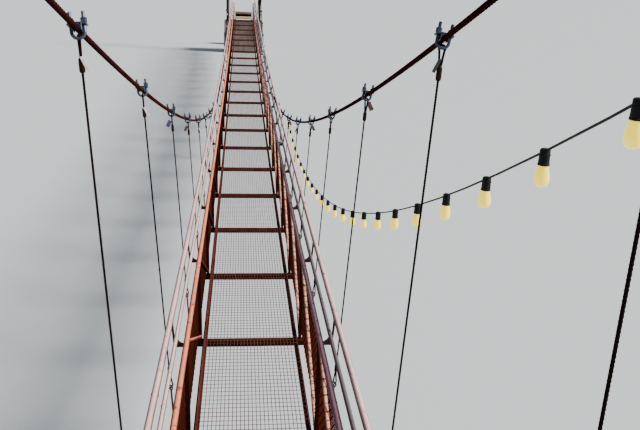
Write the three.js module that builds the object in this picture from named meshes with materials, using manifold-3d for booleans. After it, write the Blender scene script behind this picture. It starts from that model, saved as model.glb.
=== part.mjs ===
// A suspension footbridge: a narrow mesh deck between two stiffening trusses, hung from two
// main cables that run over a steel portal at each end and down to anchor blocks.
// Millimetres, +Z up. X is across the bridge, Y runs along it, and Z = 0 is the ground.
// "near" is the -Y end, "left" is the -X side.

import * as THREE from 'three';
import Module from 'manifold-3d';
import { mergeVertices } from 'three/addons/utils/BufferGeometryUtils.js';

// Length and sag
const BAYS = 24;
const BAY = 1370;
const HALF_SPAN = BAYS * BAY / 2;
const DECK_MID = 1000;            // top of the deck mesh at midspan, above the ground
const DECK_RISE = 370;            // how much higher the deck is at the towers
const CABLE_LOW = 470;            // cable above the deck at midspan
const CABLE_RISE = 3260;          // cable at the towers above cable at midspan
const CABLE_HALF_MID = 496;       // cable from the centre line at midspan
const CABLE_HALF_END = 650;       // and at the towers
const SEAT = 0.3;                 // gap left between pieces that touch

// Deck
const EDGE_HALF = 350;
const EDGE_RADIUS = 17;
const BEAM = 50;
const BEAM_DROP = 34;             // top of the crossbeams below the deck, under the edge tubes
const BEAM_PAST = 38;             // crossbeam beyond the foot of its hanger rod
const MESH_THICK = 4;
const MESH_HALF = 358;             // outermost of 29 wires, one inch apart

// Side trusses and rails: height above the deck and distance from the centre line
const TOP_CHORD = { half: 386, up: 652, radius: 16.9 };
const MID_RAIL = { half: 441, up: 693, radius: 12 };
const HAND_RAIL = { half: 468, up: 816, radius: 16.9 };
const POST = 25;
const DIAGONAL_RADIUS = 13.5;
const DIAGONAL_FOOT = -10;        // a diagonal's lower end, on its post at the deck
const PANEL = { thick: 3, low: -4, high: 614 };
const BRACKET_THICK = 12;
const HOLLOW = 44;                // radius of the gusset's hollow edge

// Cables and hangers
const CABLE_RADIUS = 10.5;
const ROPE_RADIUS = 4.4;
const FERRULE_RADIUS = 10;
const FERRULE_LENGTH = 50;
const ROD_RADIUS = 6;
const ROD_TOP = 400;              // the rod's eye above the crossbeam
const EYE = 70;                   // rope loop between the rod's eye and its ferrule
const HEAD_EYE = 91;              // the longer loop that hangs from the clamp
const HANGER_FOOT = 462;          // the rod's foot on the crossbeam, from the centre line
const FOOT_SPREAD = [0, 143, 31]; // and further out at the stations nearest a tower
const CLAMP = { x: 44, y: 38, z: 32 };
const SADDLE_RADIUS = 180;        // bend of the cable over the tower
const SADDLE_WIDTH = 44;
const CHEEK = 7;                  // plates that keep the saddle on its leg

// Towers, abutments and anchors; "out" is measured outward from the last station
const TOWER_OUT = 150;
const LEG = 90;
const LEG_HALF = 665;
const ABUTMENT = { half: 800, from: -30, to: 1000 };
const ANCHOR = { from: 3000, to: 3500, half: 660, width: 460, height: 520 };
const ANCHOR_EYE = { out: 3180, up: 600 };
const ANCHOR_PLATE = 40;          // thickness of the plate that holds the cable's end

// Light string on the right side
const STRING_RADIUS = 3;
const STRING_FROM = { x: 616.3, y: -16560, z: 4628 };
const STRING_TO_Y = -6264;
const STRING_SAG = 910;
const LAMP_FIRST = 152;
const LAMP_PITCH = 400;

const wasm = await Module();
wasm.setup();

function toManifold(geometry) {
  const bare = geometry.index ? geometry.toNonIndexed() : geometry.clone();
  for (const name of Object.keys(bare.attributes)) {
    if (name !== 'position') bare.deleteAttribute(name);
  }
  const merged = mergeVertices(bare, 1e-4);
  return new wasm.Manifold(new wasm.Mesh({
    numProp: 3,
    vertProperties: Float32Array.from(merged.attributes.position.array),
    triVerts: Uint32Array.from(merged.index.array),
  }));
}

function fromManifold(manifold) {
  const mesh = manifold.getMesh();
  const geometry = new THREE.BufferGeometry();
  geometry.setAttribute('position', new THREE.BufferAttribute(mesh.vertProperties, 3));
  geometry.setIndex(new THREE.BufferAttribute(mesh.triVerts, 1));
  return geometry;
}

function join(geometries) {
  let whole = toManifold(geometries[0]);
  for (const geometry of geometries.slice(1)) whole = whole.add(toManifold(geometry));
  return fromManifold(whole);
}

// Finishes
const finish = (color, roughness, metalness) =>
  new THREE.MeshStandardMaterial({ color, roughness, metalness });
const paint = finish(0x8a4a3e, 0.55, 0.3);
const palePaint = finish(0xc99a94, 0.45, 0.3);
const darkPaint = finish(0x4a2a2a, 0.6, 0.3);
const rope = finish(0x6e4234, 0.7, 0.6);
const zinc = finish(0x9aa3ab, 0.45, 0.8);
const wire = finish(0x9a8582, 0.5, 0.6);
const timber = finish(0xb9a184, 0.8, 0);
const concrete = finish(0x9b978f, 0.9, 0);
const rubber = finish(0x141414, 0.6, 0);

const group = new THREE.Group();
function add(name, geometry, material) {
  const mesh = new THREE.Mesh(geometry, material);
  mesh.name = name;
  group.add(mesh);
}

// Curves of the bridge
const share = y => (y / HALF_SPAN) ** 2;
const deckZ = y => DECK_MID + DECK_RISE * share(y);
const deckSlope = y => 2 * DECK_RISE * y / HALF_SPAN ** 2;
const cableZ = y => DECK_MID + CABLE_LOW + CABLE_RISE * share(y);
const cableX = y => CABLE_HALF_MID + (CABLE_HALF_END - CABLE_HALF_MID) * share(y);
const stationY = i => (i - BAYS / 2) * BAY;
const stations = (from, to) => Array.from({ length: to - from + 1 }, (_, k) => from + k);
const DECK_END = DECK_MID + DECK_RISE;

// A path through given points, with one step of the tube at each
class ListedPath extends THREE.Curve {
  constructor(points) {
    super();
    this.points = points;
  }
  getPoint(t) {
    const last = this.points.length - 1;
    const k = Math.min(Math.round(t * last), last);
    return this.points[k].clone();
  }
  getPointAt(t) {
    return this.getPoint(t);
  }
  getTangentAt(t) {
    const last = this.points.length - 1;
    const k = Math.round(t * last);
    const before = this.points[Math.max(k - 1, 0)];
    const after = this.points[Math.min(k + 1, last)];
    return after.clone().sub(before).normalize();
  }
}

function roundSection(radius, sides) {
  const section = new THREE.Shape();
  const phase = sides % 4 === 0 ? 0.5 : 0;
  for (let k = 0; k < sides; k += 1) {
    const a = (k + phase) * 2 * Math.PI / sides;
    const reach = radius / Math.cos(Math.PI / sides) * 0.985;
    if (k === 0) section.moveTo(reach * Math.cos(a), reach * Math.sin(a));
    else section.lineTo(reach * Math.cos(a), reach * Math.sin(a));
  }
  section.closePath();
  return section;
}

function tube(points, radius, sides) {
  return new THREE.ExtrudeGeometry(roundSection(radius, sides), {
    steps: points.length - 1,
    extrudePath: new ListedPath(points),
    bevelEnabled: false,
  });
}

const at = (x, y, z) => new THREE.Vector3(x, y, z);
const bar = (from, to, radius, sides) => tube([from, to], radius, sides);

function block(x0, x1, y0, y1, z0, z1) {
  const geometry = new THREE.BoxGeometry(x1 - x0, y1 - y0, z1 - z0);
  geometry.translate((x0 + x1) / 2, (y0 + y1) / 2, (z0 + z1) / 2);
  return geometry;
}

// A flat plate in the X-Z plane, centred on y
function plateXZ(outline, y, thick) {
  const shape = new THREE.Shape(outline.map(([x, z]) => new THREE.Vector2(x, z)));
  const geometry = new THREE.ExtrudeGeometry(shape, { depth: thick, bevelEnabled: false });
  geometry.rotateX(Math.PI / 2);
  geometry.translate(0, y + thick / 2, 0);
  return geometry;
}

// A strip that follows the deck's sag: outline in Y-Z, given thickness along X
function sagStrip(from, to, low, high, x0, x1) {
  const lower = stations(from, to).map(i => [stationY(i), deckZ(stationY(i)) + low]);
  const upper = stations(from, to).map(i => [stationY(i), deckZ(stationY(i)) + high]);
  const outline = lower.concat(upper.reverse()).map(([y, z]) => new THREE.Vector2(y, z));
  const shape = new THREE.Shape(outline);
  const geometry = new THREE.ExtrudeGeometry(shape, { depth: x1 - x0, bevelEnabled: false });
  geometry.rotateX(Math.PI / 2);
  geometry.rotateZ(Math.PI / 2);
  geometry.translate(x0, 0, 0);
  return geometry;
}

// A line that keeps its height above the deck, from station to station
function sagLine(from, to, side, line) {
  return stations(from, to).map(i => {
    const y = stationY(i);
    const inset = i === BAYS / 2 ? SEAT / 2 * Math.sign(from + to - BAYS) : 0;
    return at(side * line.half, y + inset, deckZ(y) + line.up);
  });
}

// Two halves of the bridge, which meet at midspan
const MID = BAYS / 2;
const LENGTHS = [{ part: 'near', from: 0, to: MID }, { part: 'far', from: MID, to: BAYS }];
const SIDES = [{ name: 'left', side: -1 }, { name: 'right', side: 1 }];

// Distance of a hanger's foot from the centre line, which grows next to the towers
const footHalf = i => HANGER_FOOT + (FOOT_SPREAD[Math.min(i, BAYS - i)] ?? 0);

// Deck: crossbeams welded under an edge tube on each side, with the mesh on the tubes
function deckFrame(length) {
  const own = stations(length.from, length.to).filter(i => i !== MID || length.part === 'near');
  const pieces = SIDES.map(({ side }) => tube(
    sagLine(length.from, length.to, side,
      { half: EDGE_HALF, up: -MESH_THICK - SEAT - EDGE_RADIUS }), EDGE_RADIUS, 6));
  for (const i of own) {
    const tuck = i === MID ? BEAM / 2 + SEAT : 0;
    const y = stationY(i) - tuck;
    const half = footHalf(i) + BEAM_PAST;
    const beam = block(-half, half, -BEAM / 2, BEAM / 2, -BEAM, 0);
    beam.rotateX(Math.atan(deckSlope(y)));
    beam.translate(0, y, deckZ(y) - BEAM_DROP);
    pieces.push(beam);
  }
  return join(pieces);
}

for (const length of LENGTHS) {
  add(`deck_frame_${length.part}`, deckFrame(length), paint);
  const strip = sagStrip(length.from, length.to, -MESH_THICK, 0, -MESH_HALF, MESH_HALF);
  strip.translate(0, length.part === 'near' ? -SEAT / 2 : SEAT / 2, 0);
  add(`deck_mesh_${length.part}`, strip, wire);
}

// Bracket: a gusset from the top chord out to the middle rail, hollowed in an arc along its
// top edge, and an upright that leans out to the hand rail
function bracket(i, side) {
  const y = stationY(i);
  const base = deckZ(y);
  const tuck = i === MID ? POST / 2 + SEAT : 0;
  const inner = TOP_CHORD.half + 8;
  const foot = TOP_CHORD.up - 36;
  const underMid = MID_RAIL.up - MID_RAIL.radius - 2 * SEAT;
  const underHand = HAND_RAIL.up - HAND_RAIL.radius - 2 * SEAT;
  const upright = MID_RAIL.half + MID_RAIL.radius;
  const hollow = Array.from({ length: 5 }, (_, k) => {
    const a = k * Math.PI / 8;
    return [inner + HOLLOW * Math.cos(a), underMid - HOLLOW * Math.sin(a)];
  });
  const outline = [
    [inner, foot],
    [upright + 7, foot],
    [HAND_RAIL.half + 8, underHand],
    [HAND_RAIL.half - 6, underHand],
    [upright + 0.6, underMid],
    ...hollow,
  ].map(([x, z]) => [side * x, base + z]);
  return plateXZ(side > 0 ? outline : outline.reverse(), y - tuck, BRACKET_THICK);
}

// Side truss: a top chord, a post and a bracket at each station, and one diagonal in each bay
// from the head of a post to the foot of the next. The posts stand on the crossbeams just
// outside the edge tube, which is the truss's bottom chord. At midspan each half has a post.
function sideTruss(length, side) {
  const near = length.part === 'near';
  const postY = i => stationY(i) + (i === MID ? (near ? -1 : 1) * (POST / 2 + SEAT) : 0);
  const node = (i, up) => at(side * TOP_CHORD.half, postY(i), deckZ(stationY(i)) + up);
  const pieces = [tube(sagLine(length.from, length.to, side, TOP_CHORD), TOP_CHORD.radius, 6)];
  for (const i of stations(length.from, length.to)) {
    pieces.push(bar(node(i, -BEAM_DROP + 4 * SEAT), node(i, TOP_CHORD.up), POST / 2, 4));
    if (i !== MID || near) pieces.push(bracket(i, side));
  }
  for (const i of stations(length.from, length.to - 1)) {
    const [high, low] = side < 0 ? [i, i + 1] : [i + 1, i];
    pieces.push(bar(node(high, TOP_CHORD.up - 4), node(low, DIAGONAL_FOOT), DIAGONAL_RADIUS, 4));
  }
  return join(pieces);
}

// Expanded-metal infill on the outer face of the posts
function infillPanel(length, side) {
  const inner = TOP_CHORD.half + DIAGONAL_RADIUS + SEAT;
  const x0 = side > 0 ? inner : -inner - PANEL.thick;
  const panel = sagStrip(length.from, length.to, PANEL.low, PANEL.high, x0, x0 + PANEL.thick);
  panel.translate(0, length.part === 'near' ? -SEAT / 2 : SEAT / 2, 0);
  return panel;
}

for (const { name, side } of SIDES) {
  for (const length of LENGTHS) {
    const end = `${name}_${length.part}`;
    add(`side_truss_${end}`, sideTruss(length, side), paint);
    add(`infill_mesh_${end}`, infillPanel(length, side), darkPaint);
    add(`hand_rail_${end}`, tube(sagLine(length.from, length.to, side, HAND_RAIL),
      HAND_RAIL.radius, 8), palePaint);
    add(`mid_rail_${end}`, tube(sagLine(length.from, length.to, side, MID_RAIL),
      MID_RAIL.radius, 8), palePaint);
  }
}

// Main cable: a parabola between the towers, over a saddle at each end and down to an anchor
const TOWER_TOP = cableZ(HALF_SPAN);
const towerY = HALF_SPAN + TOWER_OUT;

function saddleArc(end) {
  const span = Math.atan(2 * CABLE_RISE / HALF_SPAN);
  const drop = TOWER_TOP - ANCHOR_EYE.up;
  const back = Math.atan2(drop, ANCHOR_EYE.out - TOWER_OUT);
  const points = [];
  for (let k = 0; k <= 6; k += 1) {
    const a = -span + (span + back) * k / 6;
    points.push([towerY + SADDLE_RADIUS * Math.sin(a),
      TOWER_TOP - SADDLE_RADIUS + SADDLE_RADIUS * Math.cos(a)]);
  }
  return points.map(([y, z]) => [end * y, z]);
}

// Direction of a backstay, down and outward from the tower at one end
const backstayRun = end => at(0, end * (ANCHOR_EYE.out - TOWER_OUT), ANCHOR_EYE.up - TOWER_TOP)
  .normalize();

// One half of the span, with the bend over the saddle and a short straight beyond it
function mainCablePoints(length, side) {
  const end = length.part === 'near' ? -1 : 1;
  const bend = saddleArc(end).map(([y, z]) => at(side * CABLE_HALF_END, y, z));
  bend.push(bend.at(-1).clone().addScaledVector(backstayRun(end), 20));
  const run = stations(2 * length.from, 2 * length.to).map(i => {
    const y = (i - BAYS) * BAY / 2;
    return at(side * cableX(y), y === 0 ? end * SEAT / 2 : y, cableZ(y));
  });
  if (end < 0) return [...bend.reverse(), ...run.slice(1)];
  return [...run.slice(0, -1), ...bend];
}

function backstay(end, side) {
  const [y, z] = saddleArc(end).at(-1);
  const top = at(side * CABLE_HALF_END, y, z).addScaledVector(backstayRun(end), 20 + SEAT);
  const foot = at(side * CABLE_HALF_END, end * (HALF_SPAN + ANCHOR_EYE.out), ANCHOR_EYE.up);
  return bar(top, foot, CABLE_RADIUS, 6);
}

// Hanger: a clamp on the cable, a rope between two ferrules and a rod down to the crossbeam
function turned(profile, sides, from, to) {
  const points = profile.map(([r, d]) => new THREE.Vector2(r, d));
  const geometry = new THREE.LatheGeometry(points, sides);
  geometry.rotateX(Math.PI / 2);
  const turn = new THREE.Quaternion().setFromUnitVectors(at(0, 0, 1),
    to.clone().sub(from).normalize());
  geometry.applyQuaternion(turn);
  geometry.translate(from.x, from.y, from.z);
  return geometry;
}

function hanger(i, side) {
  const y = stationY(i) - (i === MID ? CLAMP.y / 2 + SEAT : 0);
  const foot = at(side * footHalf(i), y, deckZ(y) - BEAM_DROP + 4 * SEAT);
  const head = at(side * cableX(y), y, cableZ(y));
  const reach = head.distanceTo(foot);
  const profile = [[0, 0], [ROD_RADIUS, 0]];
  const lowest = ROD_TOP + EYE;
  const highest = reach - HEAD_EYE - FERRULE_LENGTH;
  if (highest > lowest + FERRULE_LENGTH + 40) {
    profile.push([ROD_RADIUS, ROD_TOP], [FERRULE_RADIUS, lowest]);
    profile.push([FERRULE_RADIUS, lowest + FERRULE_LENGTH]);
    profile.push([ROPE_RADIUS, lowest + FERRULE_LENGTH + 6], [ROPE_RADIUS, highest - 6]);
    profile.push([FERRULE_RADIUS, highest], [FERRULE_RADIUS, highest + FERRULE_LENGTH]);
  }
  profile.push([ROD_RADIUS, reach], [0, reach]);
  const clamp = new THREE.BoxGeometry(CLAMP.x, CLAMP.y, CLAMP.z);
  clamp.translate(head.x, head.y, head.z);
  return [turned(profile, 5, foot, head), clamp];
}

for (const { name, side } of SIDES) {
  for (const length of LENGTHS) {
    const near = length.part === 'near';
    const pieces = [tube(mainCablePoints(length, side), CABLE_RADIUS, 6)];
    const own = near ? stations(1, MID) : stations(MID + 1, BAYS - 1);
    for (const i of own) pieces.push(...hanger(i, side));
    add(`main_cable_${name}_${length.part}`, join(pieces), rope);
    add(`backstay_${length.part}_${name}`, backstay(near ? -1 : 1, side), rope);
  }
}

// Ends: abutment, steps, portal tower, saddles and anchor blocks
const ABUTMENT_TOP = DECK_END - BEAM_DROP - BEAM * 1.03 - SEAT;
const out = (end, from, to) => {
  const a = end * (HALF_SPAN + from);
  const b = end * (HALF_SPAN + to);
  return [Math.min(a, b), Math.max(a, b)];
};

function towerLeg(end, side) {
  const x = side * LEG_HALF;
  const top = TOWER_TOP - SADDLE_RADIUS;
  const leg = block(x - LEG / 2, x + LEG / 2, ...out(end, TOWER_OUT - LEG / 2, TOWER_OUT + LEG / 2),
    ABUTMENT_TOP + SEAT + 10, top);
  const foot = block(x - 100, x + 100, ...out(end, TOWER_OUT - 100, TOWER_OUT + 100),
    ABUTMENT_TOP + SEAT, ABUTMENT_TOP + SEAT + 16);
  const cheeks = [SADDLE_WIDTH / 2 + 1, -SADDLE_WIDTH / 2 - 1 - CHEEK].map(gap => {
    const edges = [side * (CABLE_HALF_END + gap), side * (CABLE_HALF_END + gap + CHEEK)];
    return block(Math.min(...edges), Math.max(...edges),
      ...out(end, TOWER_OUT - 60, TOWER_OUT + 60), top - 60, TOWER_TOP + 18);
  });
  return join([leg, foot, ...cheeks]);
}

function headBeam(end) {
  const half = LEG_HALF - LEG / 2 - SEAT;
  const top = TOWER_TOP - SADDLE_RADIUS - 60;
  const ends = out(end, TOWER_OUT - 35, TOWER_OUT + 35);
  const beam = block(-half, half, ...ends, top - 100, top);
  const knees = SIDES.map(({ side }) => bar(
    at(side * (half - 22), end * towerY, top - 420),
    at(side * (half - 400), end * towerY, top - 60), 24, 4));
  return join([beam, ...knees]);
}

function saddle(end, side) {
  const radius = SADDLE_RADIUS - CABLE_RADIUS - SEAT - 1;
  const disc = new THREE.CylinderGeometry(radius, radius, SADDLE_WIDTH, 24);
  disc.rotateZ(Math.PI / 2);
  disc.translate(side * CABLE_HALF_END, end * towerY, TOWER_TOP - SADDLE_RADIUS);
  const low = TOWER_TOP - SADDLE_RADIUS + SEAT;
  const upper = block(-2000, 2000, ...out(end, -400, 700), low, TOWER_TOP + 200);
  return fromManifold(toManifold(disc).intersect(toManifold(upper)));
}

function anchorBlock(end, side) {
  const x = side * ANCHOR.half;
  const body = block(x - ANCHOR.width / 2, x + ANCHOR.width / 2,
    ...out(end, ANCHOR.from, ANCHOR.to), 0, ANCHOR.height);
  const plate = block(side * CABLE_HALF_END - ANCHOR_PLATE / 2, side * CABLE_HALF_END + ANCHOR_PLATE / 2,
    ...out(end, ANCHOR_EYE.out + 9.4, ANCHOR_EYE.out + 120), ANCHOR.height - 20, ANCHOR_EYE.up + 40);
  return join([body, plate]);
}

for (const [end, part] of [[-1, 'near'], [1, 'far']]) {
  add(`abutment_${part}`, block(-ABUTMENT.half, ABUTMENT.half,
    ...out(end, ABUTMENT.from, ABUTMENT.to), 0, ABUTMENT_TOP), concrete);
  add(`head_beam_${part}`, headBeam(end), paint);
  for (const { name, side } of SIDES) {
    add(`tower_leg_${part}_${name}`, towerLeg(end, side), paint);
    add(`saddle_${part}_${name}`, saddle(end, side), zinc);
    add(`anchor_block_${part}_${name}`, anchorBlock(end, side), concrete);
  }
  const sides = SIDES.map(({ side }) => block(side * 330 - 20, side * 330 + 20,
    ...out(end, 60, 800), ABUTMENT_TOP + SEAT, DECK_END + 24));
  add(`timber_steps_${part}`, join([
    ...sides,
    block(-350, 350, ...out(end, 60, 300), DECK_END + 22, DECK_END + 100),
    block(-350, 350, ...out(end, 420, 800), DECK_END + 22, DECK_END + 200),
    block(-350, 350, ...out(end, 380, 800), DECK_END + 198, DECK_END + 275),
  ]), timber);
}

// Light string: a wire from the near tower to the right main cable, with a lamp at each pitch
const LAMP = [[0, -8], [11, -8], [12.5, 30], [18.5, 60], [12, 78], [0, 82]];

function stringPoint(t) {
  const from = at(STRING_FROM.x, STRING_FROM.y, STRING_FROM.z);
  const beside = CABLE_RADIUS * 1.14 + STRING_RADIUS + SEAT;
  const to = at(cableX(STRING_TO_Y) + beside, STRING_TO_Y, cableZ(STRING_TO_Y));
  const point = from.lerp(to, t);
  point.z -= 4 * STRING_SAG * t * (1 - t);
  return point;
}

function lightString() {
  const steps = 38;
  const points = Array.from({ length: steps + 1 }, (_, k) => stringPoint(k / steps));
  const pieces = [tube(points, STRING_RADIUS, 8)];
  const fine = Array.from({ length: 2001 }, (_, k) => stringPoint(k / 2000));
  let run = 0;
  let next = LAMP_FIRST;
  for (let k = 1; k < fine.length - 40; k += 1) {
    run += fine[k].distanceTo(fine[k - 1]);
    if (run < next) continue;
    next += LAMP_PITCH;
    const head = fine[k];
    pieces.push(turned(LAMP, 6, head, head.clone().add(at(0, 0, -1))));
  }
  return join(pieces);
}

add('light_string', lightString(), rubber);

export default group;
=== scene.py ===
# %% [markdown]
# # A suspension footbridge, dressed over its solids
#
# The bridge is a narrow walkway of steel mesh between two stiffening trusses. It hangs from two
# wire ropes that run over a steel portal at each end and down to anchor blocks. The solids of
# all this come ready made, in metres, with X across the bridge, Y along it and Z up. This lesson
# puts the real round, twisted, welded and rusted things where the solids are.

# %% Load the solids
import math

import bpy
import numpy as np
from mathutils import Matrix, Vector


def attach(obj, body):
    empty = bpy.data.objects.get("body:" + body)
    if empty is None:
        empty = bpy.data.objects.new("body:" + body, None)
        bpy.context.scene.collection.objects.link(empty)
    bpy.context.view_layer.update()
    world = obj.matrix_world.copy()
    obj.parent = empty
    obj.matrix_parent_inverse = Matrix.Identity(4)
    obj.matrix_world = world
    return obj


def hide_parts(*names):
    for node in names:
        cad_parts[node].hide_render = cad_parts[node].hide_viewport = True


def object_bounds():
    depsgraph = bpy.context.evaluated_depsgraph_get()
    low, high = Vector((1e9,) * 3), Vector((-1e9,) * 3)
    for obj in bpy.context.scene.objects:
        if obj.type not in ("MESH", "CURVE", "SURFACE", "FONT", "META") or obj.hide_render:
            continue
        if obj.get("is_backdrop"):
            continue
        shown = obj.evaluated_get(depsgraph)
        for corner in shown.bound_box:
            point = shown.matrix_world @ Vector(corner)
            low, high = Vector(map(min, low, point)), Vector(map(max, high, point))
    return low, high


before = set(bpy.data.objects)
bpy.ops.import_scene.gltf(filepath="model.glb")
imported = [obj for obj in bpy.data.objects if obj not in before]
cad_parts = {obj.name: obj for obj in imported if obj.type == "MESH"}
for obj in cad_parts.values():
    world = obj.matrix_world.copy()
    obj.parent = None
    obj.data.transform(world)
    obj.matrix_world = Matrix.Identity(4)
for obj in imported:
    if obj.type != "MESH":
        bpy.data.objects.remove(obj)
cad_low, cad_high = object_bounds()
print("solids:", len(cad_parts), "from", tuple(cad_low), "to", tuple(cad_high))

# %% [markdown]
# ## The lines of the bridge
#
# A hung deck sags in a parabola, and so do its cables, with more rise. Everything that follows is
# placed by a few functions of y, so the curves are written once here, the same as in the solids.
# Tubes on a real bridge are straight from one station to the next, so their paths hold only the
# stations, and each bay is a straight length.

# %% Sizes and curves
BAYS, MIDSPAN, BAY = 24, 12, 1.37
HALF = BAYS * BAY / 2
TOWER_OUT, GAP = 0.15, 0.0003
TOWER = HALF + TOWER_OUT
DECK_RISE, CABLE_RISE, CABLE_SPREAD = 0.37, 3.26, 0.154
TUBE, EDGE_X, CABLE_END_X = 0.0169, 0.35, 0.65
PARTS = {"near": (0, MIDSPAN), "far": (MIDSPAN, BAYS)}
SIDES = {"left": -1, "right": 1}
ENDS = {"near": -1, "far": 1}


def share(y):
    return (y / HALF) ** 2


def deck_z(y):
    return 1.0 + DECK_RISE * share(y)


def cable_z(y):
    return 1.47 + CABLE_RISE * share(y)


def cable_x(y):
    return 0.496 + CABLE_SPREAD * share(y)


def climb(rise, y):
    """How steep the parabola with that rise is at y."""
    return 2 * rise * y / HALF ** 2


TOWER_TOP = cable_z(HALF)
print("half span", round(HALF, 3), "m, tower top at", round(TOWER_TOP, 3), "m")


# %% Stations, halves and quarters
def station(i):
    return (i - BAYS / 2) * BAY


def foot_half(i):
    """A hanger's foot from the centre line. Next to the towers it stands further out."""
    return 0.462 + {1: 0.143, 2: 0.031}.get(min(i, BAYS - i), 0.0)


def sag_line(first, last, half, up):
    """Points at a fixed height over the deck, one at each station."""
    ys = [station(i) for i in range(first, last + 1)]
    return [(half, y, deck_z(y) + up) for y in ys]


def own_stations(first, last):
    """The stations of one half. The one at midspan belongs to the near half."""
    return range(first + (first == MIDSPAN), last + 1)


def quarters():
    """Side, part, number of the side and first and last station of each quarter."""
    for name, side in SIDES.items():
        for part, (first, last) in PARTS.items():
            yield name, part, side, first, last


print("quarters:", ", ".join(" ".join(quarter[:2]) for quarter in quarters()))

# %% [markdown]
# ## The camera
#
# The view is from between the near tower's legs, above the cables, and looks down along the
# deck. The lens and the place were worked out from where the crossbeams, the rails and the clamps
# lie in the picture. The picture leans a little, so the camera is rolled by the same two degrees.

# %% Camera
def placed(name, data):
    """An object made from its data and put in the scene."""
    made = bpy.data.objects.new(name, data)
    bpy.context.scene.collection.objects.link(made)
    return made


def aim_camera(place, down, right, roll, lens):
    down, right, roll = map(math.radians, (down, right, roll))
    ahead = Vector((math.sin(right) * math.cos(down), math.cos(right) * math.cos(down),
                    -math.sin(down)))
    across = Vector((math.cos(right), -math.sin(right), 0))
    over = across.cross(ahead)
    x_axis = across * math.cos(roll) + over * math.sin(roll)
    y_axis = over * math.cos(roll) - across * math.sin(roll)
    data = bpy.data.cameras.new("eye")
    data.sensor_width, data.lens = 36, lens
    data.clip_start, data.clip_end = 0.05, 600
    camera = placed("eye", data)
    turn = Matrix((x_axis, y_axis, -ahead)).transposed().to_4x4()
    camera.matrix_world = Matrix.Translation(place) @ turn
    bpy.context.scene.camera = camera
    return camera


eye = aim_camera((-0.0778, -16.2632, 3.9841), 18.869, 6.3154, 2.2545, 42.5)
print("camera at", tuple(round(v, 3) for v in eye.location), "lens", eye.data.lens)

# %% [markdown]
# ## Writing shader maths as sums
#
# A finish is a tree of nodes, and a tree is hard to read as a list of links. The small class
# Tone wraps one output socket, so that a sum such as 1 - mask adds the Math nodes by itself.
# Finish holds the material and one method, node, that makes any node from its type, its
# settings and the values or links of its sockets. Colours are blended by Mix nodes only.

# %% Tone and Finish
class Tone:
    """One output socket of a finish, on which sums can be written."""

    def __init__(self, finish, socket):
        self.finish, self.socket = finish, socket

    def maths(self, operation, *values):
        return self.finish.node("ShaderNodeMath", {"operation": operation},
                                dict(enumerate(values)))

    def __add__(self, other):
        return self.maths("ADD", self, other)

    def __sub__(self, other):
        return self.maths("SUBTRACT", self, other)

    def __rsub__(self, other):
        return self.maths("SUBTRACT", other, self)

    def __mul__(self, other):
        return self.maths("MULTIPLY", self, other)

    __radd__ = __add__
    __rmul__ = __mul__


class Finish:
    """A material, its main shader and short ways to feed it."""

    def __init__(self, name, **constants):
        self.material = bpy.data.materials.new(name)
        self.material.use_nodes = True
        self.tree = self.material.node_tree
        self.shader = self.tree.nodes["Principled BSDF"]
        for socket, value in constants.items():
            self.shader.inputs[socket.replace("_", " ")].default_value = value

    def node(self, kind, settings=None, values=None, out=0):
        made = self.tree.nodes.new(kind)
        for key, value in (settings or {}).items():
            if key == "stops":
                for element, (place, grey) in zip(made.color_ramp.elements, value):
                    element.position, element.color = place, (grey, grey, grey, 1)
            else:
                setattr(made, key, value)
        for key, value in (values or {}).items():
            if isinstance(value, Tone):
                self.tree.links.new(value.socket, made.inputs[key])
            else:
                made.inputs[key].default_value = value
        return Tone(self, made.outputs[out])

    def feed(self, **values):
        """Links what changes over the surface, and hands back the material."""
        for socket, value in values.items():
            self.tree.links.new(value.socket, self.shader.inputs[socket.replace("_", " ")])
        return self.material


print("helpers: Tone, Finish")

# %% [markdown]
# ## Looks that every finish shares
#
# Weathered steel varies at three scales: broad patches of fading, blotches of rust as wide as a
# hand, and a fine grain that only shows close by. Each is a noise texture in the object's own
# metres, so it doesn't slide or stretch. In the paints, what faces the sky is paler, partly worn
# pale by the sun and partly a painted highlight, and what faces down is nearly black, which is
# painted shade. In the metals, what faces down is stained with rust and damp. Both come from the
# surface's own upward direction.

# %% Places, noise and sky
def metres(finish):
    return finish.node("ShaderNodeTexCoord", out=3)


def stretched(finish, along):
    """The object's metres, scaled for each axis, so that marks run along the least scaled."""
    return finish.node("ShaderNodeMapping", values={0: metres(finish), 3: along})


def noise(finish, scale, detail=3.0, rough=0.55, where=None):
    values = {"Vector": where or metres(finish), "Scale": scale, "Detail": detail,
              "Roughness": rough}
    return finish.node("ShaderNodeTexNoise", {"noise_dimensions": "3D"}, values)


def upward(finish):
    """1 where the surface faces the sky, 0 where it faces down."""
    normal = finish.node("ShaderNodeNewGeometry", out=1)
    height = finish.node("ShaderNodeSeparateXYZ", values={0: normal}, out=2)
    return height * 0.5 + 0.5


def ramp(tone, low, high, first=0.0, last=1.0):
    """Goes from the first to the last value where the tone goes from low to high."""
    stops = ((low, first), (high, last))
    return tone.finish.node("ShaderNodeValToRGB", {"stops": stops}, {0: tone})


def blend(factor, first, second):
    """One colour over another: factor 0 gives the first, 1 the second."""
    values = {0: factor}
    for key, colour in ((6, first), (7, second)):
        values[key] = colour if isinstance(colour, Tone) else (*colour, 1)
    return factor.finish.node("ShaderNodeMix", {"data_type": "RGBA"}, values, out=2)


def relief(height, strength, distance):
    values = {"Height": height, "Strength": strength, "Distance": distance}
    return height.finish.node("ShaderNodeBump", values=values)


print("shared looks ready")
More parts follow.
